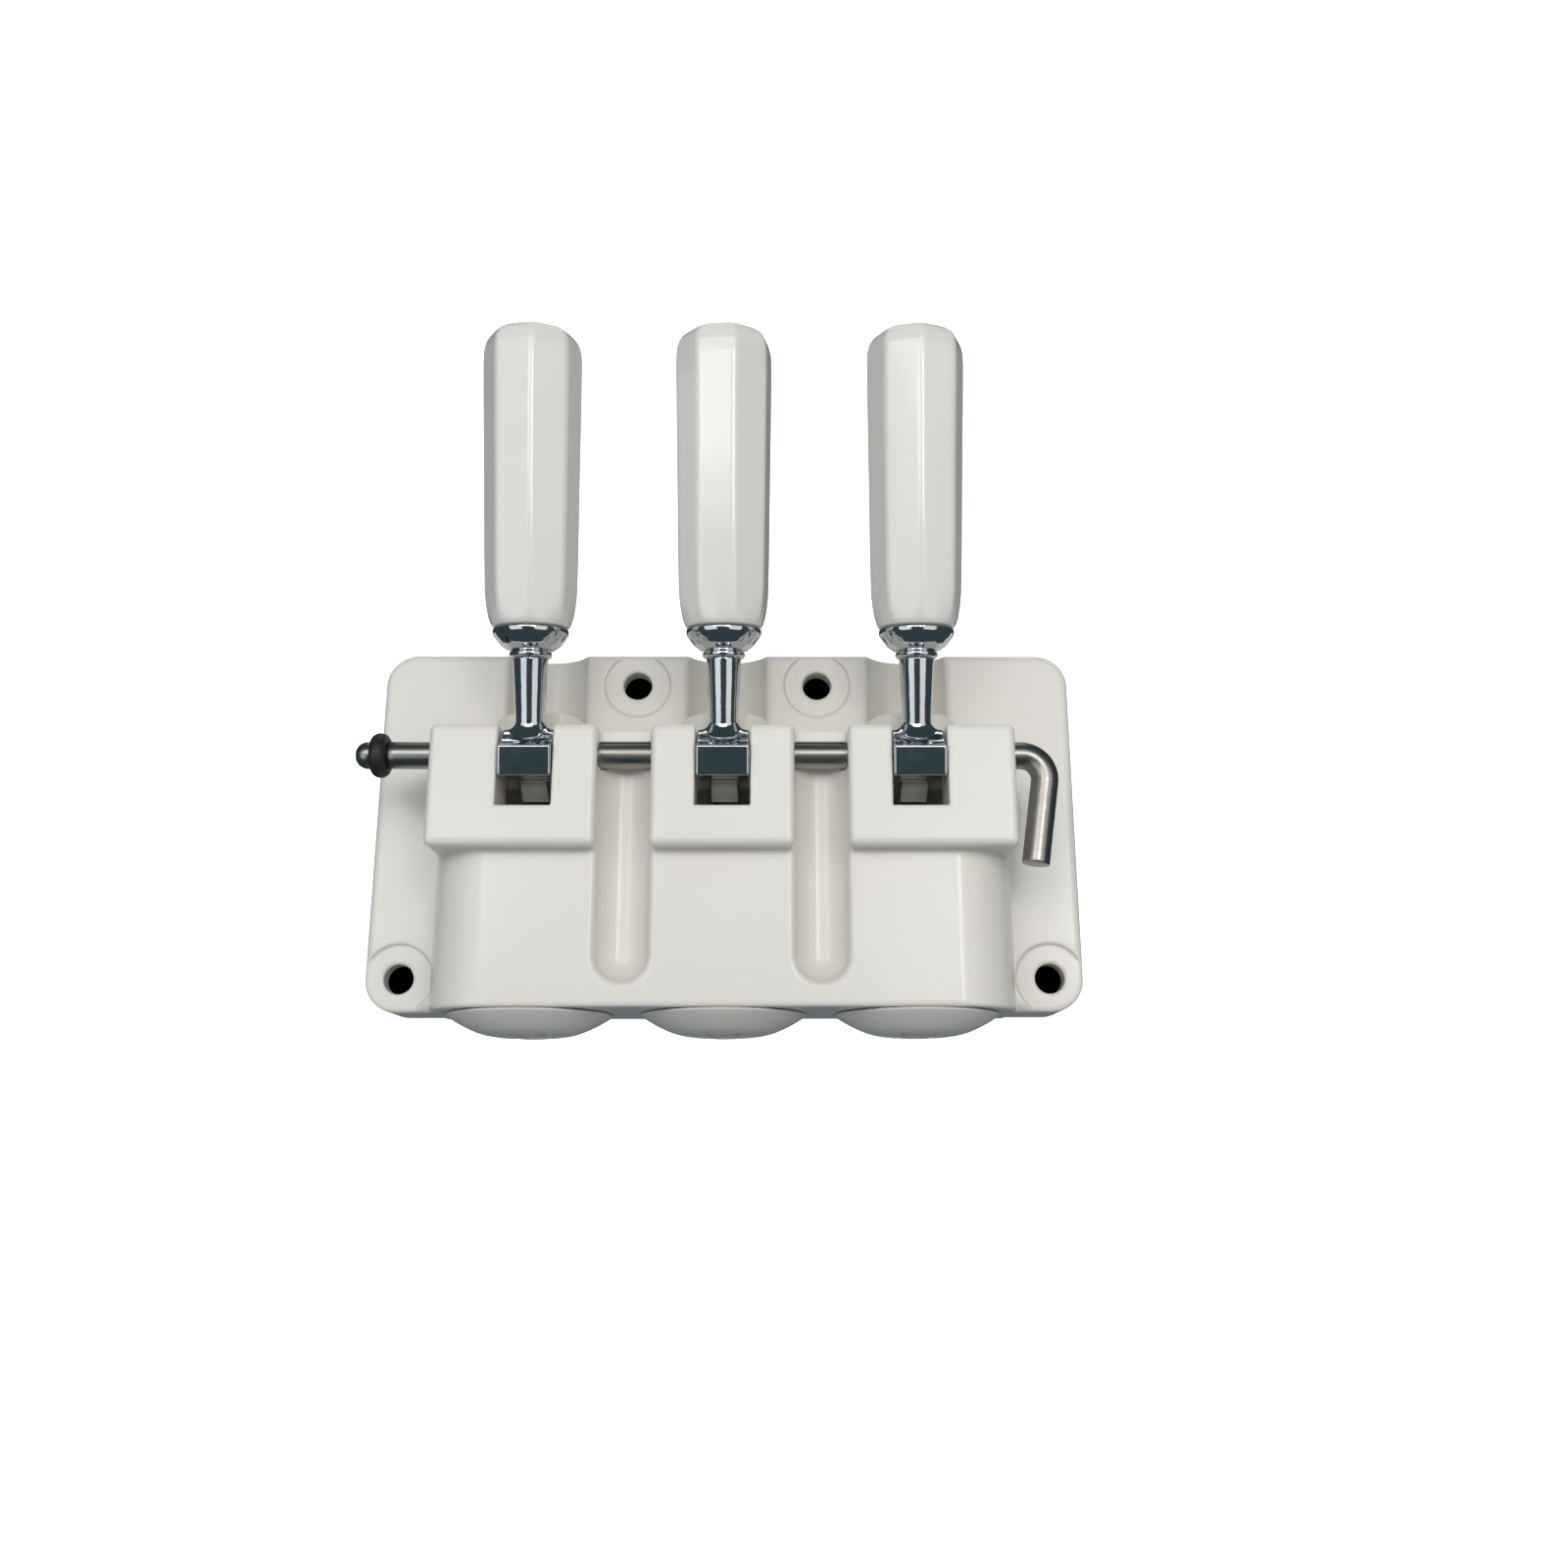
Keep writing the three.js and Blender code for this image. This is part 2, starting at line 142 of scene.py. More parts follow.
def mesh_from_field(name, field, lo, hi, cell, smooth_steps=3):
    """Surface nets over a regular grid, then each vertex is moved onto the field's zero surface."""
    lo, hi = np.array(lo, float) - 1.5 * cell, np.array(hi, float) + 1.5 * cell
    counts = np.ceil((hi - lo) / cell).astype(int) + 1
    axes = [(lo[i] + cell * np.arange(counts[i])).astype(np.float32) for i in range(3)]
    values = np.empty(counts, np.float32)
    chunk = max(1, int(1.5e6 / (counts[1] * counts[2])))
    for i in range(0, counts[0], chunk):
        grid = np.meshgrid(axes[0][i : i + chunk], axes[1], axes[2], indexing="ij")
        values[i : i + chunk] = field(grid)
    inside = values < 0
    nx, ny, nz = counts - 1
    total = np.zeros((nx, ny, nz), np.int8)
    for i, j, k in CORNERS:
        total += inside[i : i + nx, j : j + ny, k : k + nz]
    cells = np.argwhere((total > 0) & (total < 8))
    index = np.full((nx, ny, nz), -1, np.int64)
    index[tuple(cells.T)] = np.arange(len(cells))
    spot, hits = np.zeros((len(cells), 3)), np.zeros(len(cells))
    for a, b in EDGES:
        va, vb = values[tuple((cells + a).T)], values[tuple((cells + b).T)]
        cross = (va < 0) != (vb < 0)
        t = np.where(cross, va / np.where(cross, va - vb, 1), 0)[:, None]
        spot += np.where(cross[:, None], np.array(a) + t * (np.array(b) - np.array(a)), 0)
        hits += cross
    points = lo + cell * (cells + spot / hits[:, None])
    faces = []
    for axis in range(3):
        ahead = [slice(None)] * 3
        behind = [slice(None)] * 3
        ahead[axis], behind[axis] = slice(1, None), slice(None, -1)
        first, second = inside[tuple(behind)], inside[tuple(ahead)]
        u, v = (axis + 1) % 3, (axis + 2) % 3
        for flips, found in ((False, first & ~second), (True, ~first & second)):
            at = np.argwhere(found)
            at = at[(at[:, u] > 0) & (at[:, v] > 0)]
            ring = []
            for du, dv in ((0, 0), (-1, 0), (-1, -1), (0, -1)):
                step = at.copy()
                step[:, u] += du
                step[:, v] += dv
                ring.append(index[tuple(step.T)])
            quad = np.stack(ring, 1)
            faces.append(quad[:, ::-1] if flips else quad)
    faces = np.concatenate(faces)
    for _ in range(smooth_steps):
        points = onto_surface(field, points, cell)
    return make_mesh(name, points, faces)


def onto_surface(field, points, cell):
    step = cell * 0.1
    here = field([points[:, i] for i in range(3)])
    slope = np.empty_like(points)
    for axis in range(3):
        shifted = []
        for sign in (1, -1):
            moved = points.copy()
            moved[:, axis] += sign * step
            shifted.append(field([moved[:, i] for i in range(3)]))
        slope[:, axis] = (shifted[0] - shifted[1]) / (2 * step)
    size = np.maximum((slope**2).sum(1), 0.25)
    move = slope * (here / size)[:, None]
    length = np.linalg.norm(move, axis=1)[:, None]
    return points - move * np.minimum(1, 0.5 * cell / np.maximum(length, 1e-9))


def make_mesh(name, points, faces, place=None):
    """A smooth-shaded object from points in millimetres."""
    mesh = bpy.data.meshes.new(name)
    points = np.asarray(points, float)
    if place is not None:
        m = np.array(place)
        points = points @ m[:3, :3].T + m[:3, 3]
    faces = np.asarray(faces)
    mesh.vertices.add(len(points))
    mesh.vertices.foreach_set("co", (points * MM).astype(np.float32).ravel())
    mesh.loops.add(faces.size)
    mesh.loops.foreach_set("vertex_index", faces.astype(np.int32).ravel())
    mesh.polygons.add(len(faces))
    mesh.polygons.foreach_set("loop_start", np.arange(len(faces), dtype=np.int32) * faces.shape[1])
    mesh.polygons.foreach_set("use_smooth", np.ones(len(faces), bool))
    mesh.update(calc_edges=True)
    mesh.validate()
    obj = bpy.data.objects.new(name, mesh)
    bpy.context.scene.collection.objects.link(obj)
    return obj


# ---- valve body ------------------------------------------------------------------------------

PLATE_DEPTH = 20.0
PLATE_EDGE = 2.2  # rounding round the front of the plate
PLATE_CORNER = 10.0
HOUSING_HALF = 85.5
HOUSING_FRONT = -48.8
HOUSING_CORNER = 19.0
HINGE_HALF = 20.8
HINGE_OUTER = 84.8
HINGE_BOTTOM = -13.1
HINGE_BACK = -8.0
DECK_TOP = 23.1
SLOT_HALF = 8.0
SLOT_BOTTOM = -1.3
BORE = 14.1
CAP_SEAT = 19.5
CAP_SEAT_TOP = -50.2
POCKET_X = 28.5
POCKET_R = 7.7
POCKET_END = -51.0
PIN_R = 4.0
PIN_HOLE = 4.15
STUDS = [(s * x, z) for x, z in ((28.5, 46.4), (98.3, -46.7)) for s in (-1, 1)]
STUD_R = 4.5
STUD_SEAT = 10.4
STUD_SEAT_DEPTH = 0.8
WELL_X = 54.0
WELL_Z = -4.0
WELL_R = 36.0
WELL_DEPTH = 7.0
WELL_BOSS = 9.0
BEARING_HOLE = 5.0
BEARING_DEPTH = 5.0
SEAL_INNER = 40.6
SEAL_OUTER = 44.8
SEAL_GROOVE = 3.0
PORT_Z = -41.0
SIDE_PORT_R = 6.0
SIDE_PORT_RISE = 6.0
MID_PORT_R = 3.8
MID_PORT_START = (31.0, -6.0, -24.0)


def tube(p, start, end, radius):
    """Distance to a flat-ended round bar between two points."""
    start, end = np.array(start, float), np.array(end, float)
    length = np.linalg.norm(end - start)
    way = (end - start) / length
    rel = [c - s for c, s in zip(p, start)]
    along = sum(c * w for c, w in zip(rel, way))
    across = np.sqrt(np.maximum(sum(c * c for c in rel) - along**2, 0))
    return np.maximum(across - radius, slab(along, 0, length))


def body_field(p):
    x, y, z = p
    plate = rect(x, z, BODY_HI[0], BODY_HI[2], PLATE_CORNER)
    plate = both(both(plate, -PLATE_DEPTH - y, PLATE_EDGE), y, 0.8)
    deep = 60  # past the back face, where the housing is cut off again
    shell = rect(x, y - (HOUSING_FRONT + deep), HOUSING_HALF, deep, HOUSING_CORNER)
    housing = both(shell, slab(z, BODY_LO[2], DECK_TOP), 1.2)
    housing = np.maximum(housing, y + PLATE_DEPTH / 2)
    blocks = np.inf
    for s, vx in VALVE_X.items():
        lo_x = -HINGE_OUTER if s == "left" else vx - HINGE_HALF
        hi_x = HINGE_OUTER if s == "right" else vx + HINGE_HALF
        one = block(p, (lo_x, BODY_LO[1], HINGE_BOTTOM), (hi_x, HINGE_BACK, DECK_TOP), 2.0)
        blocks = np.minimum(blocks, one)
    body = join(join(housing, blocks, 0.8), plate, 1.6)
    for sx in (-1, 1):
        px, pz = x - sx * POCKET_X, np.minimum(z - (POCKET_END + POCKET_R), 0)
        ball = np.sqrt(px**2 + (y - HOUSING_FRONT) ** 2 + pz**2) - POCKET_R
        body = less(body, np.maximum(ball, z - PIN_Z), 1.6)
    for vx in VALVE_X.values():
        across = np.hypot(x - vx, y - VALVE_Y)
        body = less(body, across - BORE, 0.9)
        body = less(body, np.maximum(across - CAP_SEAT, z - CAP_SEAT_TOP), 0.5)
        slot = np.maximum(np.abs(x - vx) - SLOT_HALF, np.maximum(y - VALVE_Y, SLOT_BOTTOM - z))
        body = less(body, slot, 0.5)
    body = less(body, np.hypot(y - PIN_Y, z - PIN_Z) - PIN_HOLE, 0.3)
    for sx, sz in STUDS:
        across = np.hypot(x - sx, z - sz)
        seat = np.maximum(across - STUD_SEAT, y + PLATE_DEPTH - STUD_SEAT_DEPTH)
        body = less(less(body, seat, 0.5), across - STUD_R, 0.5)
    for side in (-1, 1):
        across = np.hypot(x - side * WELL_X, z - WELL_Z)
        well = np.maximum(across - WELL_R, -WELL_DEPTH - y)
        boss = np.maximum(across - WELL_BOSS, y + WELL_DEPTH / 2)
        body = less(body, less(well, boss, 0.4), 0.6)
        groove = np.maximum(slab(across, SEAL_INNER, SEAL_OUTER), -SEAL_GROOVE - y)
        body = less(body, groove, 0.3)
        bearing = np.maximum(across - BEARING_HOLE, -WELL_DEPTH - BEARING_DEPTH - y)
        body = less(body, bearing, 0.4)
        side_x = side * VALVE_X["right"]
        side_end = (side_x, VALVE_Y, PORT_Z)
        side_port = tube(p, (side_x, -2, PORT_Z + SIDE_PORT_RISE), side_end, SIDE_PORT_R)
        mid_start = (side * MID_PORT_START[0], *MID_PORT_START[1:])
        mid_port = tube(p, mid_start, (0, VALVE_Y, PORT_Z), MID_PORT_R)
        body = less(body, np.minimum(side_port, mid_port), 0.4)
    return body


# ---- lever casting, in its own frame: z up the stem, -y the pull direction -------------------

LEAN = math.radians(12)
BLOCK_HALF = 7.7
HUB_R = 7.7
STEM = ((0, 4.4), (9, 4.4), (12, 4.45), (28.4, 5.2))  # height and radius
STEM_TOP = 28.6
STUD_ROD_R = 3.0
STUD_ROD_SPAN = (20.0, 63.5)
TAIL_ANGLE = math.radians(-42)
TAIL_LENGTH = 21.0
TAIL_HALF = 4.3  # half width
TAIL_THICK = 2.4  # half thickness
TAIL_TIP_R = 4.2


def stem_radius(z):
    return np.interp(z, *zip(*STEM)).astype(np.float32)


def casting_field(p):
    x, y, z = p
    r = 0.7
    outline = [
        (-11 + r, -6.4 + r),
        (-11 + r, 2.4 - 0.7 * r),
        (5.45 - r, 8.2 - 1.4 * r),
        (6.3 - r, 2.5),
        (2, -6),
        (-2, -6.6),
    ]
    side = join(polygon(y, z, outline) - r, np.hypot(y, z) - HUB_R, 1.0)
    body = both(side, np.abs(x) - BLOCK_HALF, r)
    radial = np.hypot(x, y)
    stem = np.maximum(radial - stem_radius(z), slab(z, 0, STEM_TOP))
    body = join(body, stem, 2.6)
    body = np.minimum(body, np.maximum(radial - STUD_ROD_R, slab(z, *STUD_ROD_SPAN)))
    along = y * math.cos(TAIL_ANGLE) + z * math.sin(TAIL_ANGLE)
    over = -y * math.sin(TAIL_ANGLE) + z * math.cos(TAIL_ANGLE)
    flank = np.abs(x) - TAIL_HALF
    bar = both(rect(along - TAIL_LENGTH / 2, over, TAIL_LENGTH / 2, TAIL_THICK), flank, 0.6)
    tip = both(np.hypot(along - TAIL_LENGTH, over) - TAIL_TIP_R, flank, 0.8)
    body = join(body, join(bar, tip, 1.2), 1.2)
    return less(body, np.hypot(y, z) - PIN_HOLE, 0.3)


# ---- plunger, nozzle cap ---------------------------------------------------------------------

PLUNGER_R = 13.8
RING_ROOT = 12.1
RING_HALF = 1.15
RING_Z = (-52.4, -29.0)
FLAT_Y = -11.4  # the flat in front of the plunger, above FLAT_BOTTOM
FLAT_BOTTOM = -15.0
TAIL_SLOT_BACK = 6.5
TAIL_SLOT_HALF = 4.6
TAIL_SLOT_FLARE = 6.4 / 11.2


def plunger_field(p):
    x, y, z = p
    radial = np.hypot(x, y)
    body = both(radial - PLUNGER_R, slab(z, PLUNGER_LO[2], PLUNGER_HI[2]), 1.0)
    for ring_z in RING_Z:
        body = less(body, np.maximum(RING_ROOT - radial, np.abs(z - ring_z) - RING_HALF), 0.15)
    flat = np.maximum(y - FLAT_Y, FLAT_BOTTOM - z)
    body = less(body, flat, 0.4)
    tail_z = z - (PIN_Z + TAIL_LENGTH * math.sin(LEAN + TAIL_ANGLE))
    flare = TAIL_SLOT_HALF + np.maximum(-3.8 - y, 0) * TAIL_SLOT_FLARE
    slot = np.maximum(np.abs(tail_z) - flare, y - TAIL_SLOT_BACK)
    return less(body, slot, 0.4)


CAP_R = 24.8
CAP_RIM = -58.2
CAP_FLAT = 9.0
CAP_FLOOR = -58.6
SPIGOT_R = 19.2
SPIGOT_BORE = 14.5
CAP_RING_ROOT = 17.4
CAP_RING_Z = -53.6
STAR_POINTS = 6
STAR_OUTER = 10.4
STAR_INNER = 5.4


def cap_field(p):
    x, y, z = p
    radial = np.hypot(x, y)
    rise = (CAP_R**2 - CAP_FLAT**2) / (CAP_RIM - CAP_LO[2])
    ball_z = (CAP_RIM + CAP_LO[2] + rise) / 2
    ball_r = math.hypot(CAP_FLAT, CAP_LO[2] - ball_z)
    dome = np.sqrt(radial**2 + (z - ball_z) ** 2) - ball_r
    dome = both(both(dome, CAP_LO[2] - z, 2.0), z - CAP_RIM, 0.5)
    spigot = both(radial - SPIGOT_R, slab(z, -60, CAP_HI[2]), 0.5)
    body = np.minimum(dome, spigot)
    groove = np.maximum(CAP_RING_ROOT - radial, np.abs(z - CAP_RING_Z) - RING_HALF)
    body = less(body, groove, 0.15)
    body = less(body, np.maximum(radial - SPIGOT_BORE, CAP_FLOOR - z), 0.5)
    sector = 2 * math.pi / STAR_POINTS
    angle = np.arctan2(y, x) - math.pi / 2 + sector / 2
    fold = np.abs((angle + sector / 2) % sector - sector / 2)
    u, v = radial * np.cos(fold), radial * np.sin(fold)
    valley = (STAR_INNER * math.cos(sector / 2), STAR_INNER * math.sin(sector / 2))
    corners = [(-0.5, -0.5), (STAR_OUTER, -0.5), (STAR_OUTER, 0.75), valley, (-0.5, valley[1])]
    star = polygon(u, v, corners)
    return less(body, star, 0.35)


# ---- turned and swept pieces -----------------------------------------------------------------


def grid_faces(rows, columns, wrap_rows=False):
    """Quads over a grid of points whose columns close on themselves."""
    r = np.arange(rows if wrap_rows else rows - 1)[:, None]
    c = np.arange(columns)[None, :]
    r1, c1 = (r + 1) % rows, (c + 1) % columns
    quads = np.stack([r * columns + c, r * columns + c1, r1 * columns + c1, r1 * columns + c], -1)
    return quads.reshape(-1, 4)


def rounded(profile, radius=0.4, steps=4):
    """A profile of (r, z) with each corner rounded by up to that radius."""
    profile = [np.array(p, float) for p in profile]
    out = [profile[0]]
    for before, at, after in zip(profile, profile[1:], profile[2:]):
        a, b = before - at, after - at
        la, lb = np.linalg.norm(a), np.linalg.norm(b)
        cut = min(radius, 0.45 * la, 0.45 * lb)
        start, end = at + a / la * cut, at + b / lb * cut
        for t in np.linspace(0, 1, steps + 1):
            out.append((1 - t) ** 2 * start + 2 * t * (1 - t) * at + t**2 * end)
    out.append(profile[-1])
    return np.array(out)


def turned(name, profile, segments=96, place=None, closed=False):
    """A profile of (radius, z) turned about z. An open one runs from axis to axis."""
    profile = np.asarray(profile, float)
    angle = np.arange(segments) * 2 * math.pi / segments
    ring = np.stack([np.cos(angle), np.sin(angle)], 1)
    points = np.concatenate([np.column_stack([r * ring, np.full(segments, z)]) for r, z in profile])
    faces = grid_faces(len(profile), segments, closed)
    return clean(make_mesh(name, points, faces, place))


def clean(obj, merge=2e-6):
    """Welds the rings of points that meet on an axis."""
    work = bmesh.new()
    work.from_mesh(obj.data)
    bmesh.ops.remove_doubles(work, verts=work.verts, dist=merge)
    bmesh.ops.recalc_face_normals(work, faces=work.faces)
    work.to_mesh(obj.data)
    work.free()
    obj.data.validate()
    return obj


GRIP_FLATS = 8
GRIP_ARRIS = 2.6
GRIP_PROFILE = [
    # height, radius over the arrises, how far the section is from round (0) to eight-sided (1)
    (37.5, 0.0, 0),
    (37.5, 10.6, 0),
    (37.9, 11.5, 0),
    (39.0, 12.1, 0.25),
    (41.0, 12.65, 0.6),
    (44.0, 13.1, 0.9),
    (48.0, 13.5, 1),
    (60.0, 13.75, 1),
    (80.0, 14.0, 1),
    (100.0, 14.3, 1),
    (116.5, 14.5, 1),
    (120.4, 14.35, 1),
    (122.8, 13.75, 0.95),
    (124.6, 12.6, 0.8),
    (125.8, 10.8, 0.6),
    (126.4, 8.0, 0.3),
    (126.55, 0.0, 0),
]


def arris_radius(fold, outer, soft):
    """Radius of an eight-sided section with rounded corners; fold is the angle from a corner."""
    half = math.pi / GRIP_FLATS
    centre = outer - soft
    apothem = centre * math.cos(half) + soft
    flat = apothem / np.cos(half - np.abs(fold))
    reach = math.atan((apothem - soft) * math.tan(half) / apothem)
    corner = centre * np.cos(fold) + np.sqrt(np.maximum(soft**2 - (centre * np.sin(fold)) ** 2, 0))
    return np.where(half - np.abs(fold) > reach, corner, flat)


def grip_mesh(name, place, turn):
    """A rounded octagon whose size follows a profile along the handle."""
    knots = np.arange(len(GRIP_PROFILE))
    t = np.linspace(0, knots[-1], 8 * knots[-1] + 1)
    z, size, flatness = (np.interp(t, knots, column) for column in zip(*GRIP_PROFILE))
    for _ in range(3):
        z[9:-1] = (z[8:-2] + 2 * z[9:-1] + z[10:]) / 4
        size[9:-1] = (size[8:-2] + 2 * size[9:-1] + size[10:]) / 4
        flatness[1:-1] = (flatness[:-2] + 2 * flatness[1:-1] + flatness[2:]) / 4
    segments = 192
    angle = np.arange(segments) * 2 * math.pi / segments
    sector = 2 * math.pi / GRIP_FLATS
    fold = (angle - turn + sector / 2) % sector - sector / 2
    points = []
    for zi, ri, fi in zip(z, size, flatness):
        radius = ri * ((1 - fi) * 0.975 + fi * arris_radius(fold, 1.0, GRIP_ARRIS / 13.5))
        level = np.full(segments, zi)
        points.append(np.column_stack([radius * np.cos(angle), radius * np.sin(angle), level]))
    return clean(make_mesh(name, np.concatenate(points), grid_faces(len(z), segments), place))


def swept(name, stations, segments=64):
    """A round bar through stations of (centre, direction, radius)."""
    angle = np.arange(segments) * 2 * math.pi / segments
    points = []
    for centre, way, radius in stations:
        way = np.array(way, float) / np.linalg.norm(way)
        side = np.array([0.0, 1.0, 0.0])
        up = np.cross(way, side)
        rim = np.cos(angle)[:, None] * side + np.sin(angle)[:, None] * up
        points.append(np.array(centre) + radius * rim)
    return clean(make_mesh(name, np.concatenate(points), grid_faces(len(stations), segments)))


PIN_BEND_X = 95.5
PIN_BEND_R = 7.0
PIN_LEG = 33.0
PIN_LEAN = math.radians(8.7)
PIN_TIP = [
    # distance from the left end, radius: the rounded end, then the ring's groove
    (0, 0.0), (0, 1.2), (0.25, 2.1), (0.9, 3.0), (1.8, 3.6), (2.8, 3.95), (3.6, 4.0),
    (4.75, 4.0), (4.9, 3.85), (4.9, 2.5), (9.3, 2.5), (9.3, 3.85), (9.45, 4.0),
]
PIN_FOOT = [(0.35, 4.0), (0.1, 3.85), (0, 3.5), (0, 0.0)]  # distance before the foot, radius


def pin_mesh(name):
    left = PIN_LO[0]
    way = np.array([1.0, 0, 0])
    stations = [((left + d, PIN_Y, PIN_Z), way, r) for d, r in PIN_TIP]
    sweep = math.pi / 2 + PIN_LEAN
    reach = PIN_BEND_R * math.tan(sweep / 2)
    start = PIN_BEND_X - reach
    for x in np.linspace(left + 12, start, 40):
        stations.append(((x, PIN_Y, PIN_Z), way, PIN_R))
    for a in np.linspace(0, sweep, 33)[1:]:
        drop = PIN_BEND_R * (1 - math.cos(a))
        centre = (start + PIN_BEND_R * math.sin(a), PIN_Y, PIN_Z - drop)
        stations.append((centre, (math.cos(a), 0, -math.sin(a)), PIN_R))
    down = np.array([math.cos(sweep), 0, -math.sin(sweep)])
    last = np.array(stations[-1][0])
    foot = np.array([PIN_BEND_X, PIN_Y, PIN_Z]) + PIN_LEG * down
    run = np.linalg.norm(foot - last)
    leg = [(run * t, PIN_R) for t in np.linspace(0.05, 0.98, 12)]
    leg += [(run - before, r) for before, r in PIN_FOOT]
    for d, r in leg:
        stations.append((last + d * down, down, r))
    return swept(name, stations)


def ring_profile(centre, half_r, half_z, steps=32):
    angle = np.arange(steps) * 2 * math.pi / steps
    return np.column_stack([centre + half_r * np.cos(angle), half_z * np.sin(angle)])


# ---- building the pieces ---------------------------------------------------------------------

PIECES = {}


def keep(obj, body, slot, *nodes):
    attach(obj, body)
    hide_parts(*nodes)
    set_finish(obj, slot)
    PIECES[obj.name] = obj
    return obj


def shift(x, y, z):
    return Matrix.Translation((x, y, z))


FINE = 1.0
body = mesh_from_field("valve_block", body_field, BODY_LO, BODY_HI, 0.6 * FINE)
keep(body, "base", "moulding", "valve_body")

casting = mesh_from_field("casting", casting_field, (-8, -13, -22), (8, 24, 64), 0.32 * FINE)
reach = (14, 14, PLUNGER_HI[2])
plunger = mesh_from_field("plunger", plunger_field, (-14, -14, PLUNGER_LO[2]), reach, 0.5 * FINE)
reach = (26, 26, CAP_HI[2])
cap = mesh_from_field("cap", cap_field, (-26, -26, CAP_LO[2]), reach, 0.45 * FINE)
FERRULE = [
    # radius, height: the collar, then the cup
    (3.3, 28.7), (5.7, 28.7), (6.3, 29.2), (6.3, 30.1), (5.8, 30.6), (7.0, 31.1),
    (8.8, 32.4), (10.1, 34.1), (11.1, 35.8), (11.1, 37.2), (3.3, 37.2),
]
GRIP_TURN = {"left": 8, "center": 14, "right": 3}  # degrees about the stem
# centre radius and half the section of each rubber ring
PLUNGER_RING = ring_profile(13.07, 0.92, 0.92)
CAP_RING = ring_profile(18.4, 0.92, 0.92)
PIN_RING = ring_profile(4.6, 2.0, 2.4)
WALL_SEAL = [(41.0, 1.3), (41.0, 0), (44.4, 0), (44.4, 2.6), (41.0, 2.6)]


def instance(obj, name, place):
    copy = bpy.data.objects.new(name, obj.data.copy())
    move = Matrix.Translation(Vector(place.translation) * MM)
    copy.data.transform(move @ place.to_3x3().to_4x4())
    bpy.context.scene.collection.objects.link(copy)
    return copy


for side in SIDES:
    vx = VALVE_X[side]
    valve, lever = f"valve_{side}", f"lever_{side}"
    axis = shift(vx, VALVE_Y, 0)
    hand = shift(vx, PIN_Y, PIN_Z) @ Matrix.Rotation(LEAN, 4, "X")
    keep(instance(plunger, f"plunger_body_{side}", axis), valve, "plunger", f"plunger_{side}")
    for level, ring_z in zip(("lower", "upper"), RING_Z):
        place = shift(vx, VALVE_Y, ring_z)
        ring = turned(f"plunger_seal_{level}_{side}", PLUNGER_RING, 128, place, True)
        keep(ring, valve, "rubber", f"plunger_{level}_ring_{side}")
    keep(instance(cap, f"nozzle_{side}", axis), "base", "nozzle", f"nozzle_cap_{side}")
    place = shift(vx, VALVE_Y, CAP_RING_Z)
    ring = turned(f"nozzle_seal_{side}", CAP_RING, 128, place, True)
    keep(ring, "base", "rubber", f"nozzle_ring_{side}")
    keep(instance(casting, f"lever_{side}_casting", hand), lever, "chrome", f"lever_casting_{side}")
    cup = turned(f"grip_cup_{side}", rounded(FERRULE, 0.45), 128, hand, True)
    keep(cup, lever, "chrome", f"ferrule_{side}")
    turn = math.radians(GRIP_TURN[side])
    keep(grip_mesh(f"handle_{side}", hand, turn), lever, "grip", f"grip_{side}")

keep(pin_mesh("cross_pin"), "pin", "stainless", "pivot_pin")
RING_X = sum(v[0] for v in node_box("pin_retaining_ring")) / 2
along_x = shift(RING_X, PIN_Y, PIN_Z) @ Matrix.Rotation(math.pi / 2, 4, "Y")
ring = turned("pin_ring", PIN_RING, 96, along_x, True)
keep(ring, "pin_carrier", "rubber", "pin_retaining_ring")
for side in ("left", "right"):
    lo, hi = node_box(f"cylinder_seal_{side}")
    middle = shift((lo[0] + hi[0]) / 2, hi[1], (lo[2] + hi[2]) / 2)
    into = middle @ Matrix.Rotation(math.pi / 2, 4, "X")
    gasket = turned(f"wall_seal_{side}", rounded(WALL_SEAL, 0.5), 160, into, True)
    keep(gasket, "base", "rubber", f"cylinder_seal_{side}")
for spare in (casting, plunger, cap):
    bpy.data.objects.remove(spare)

# ---- materials -------------------------------------------------------------------------------


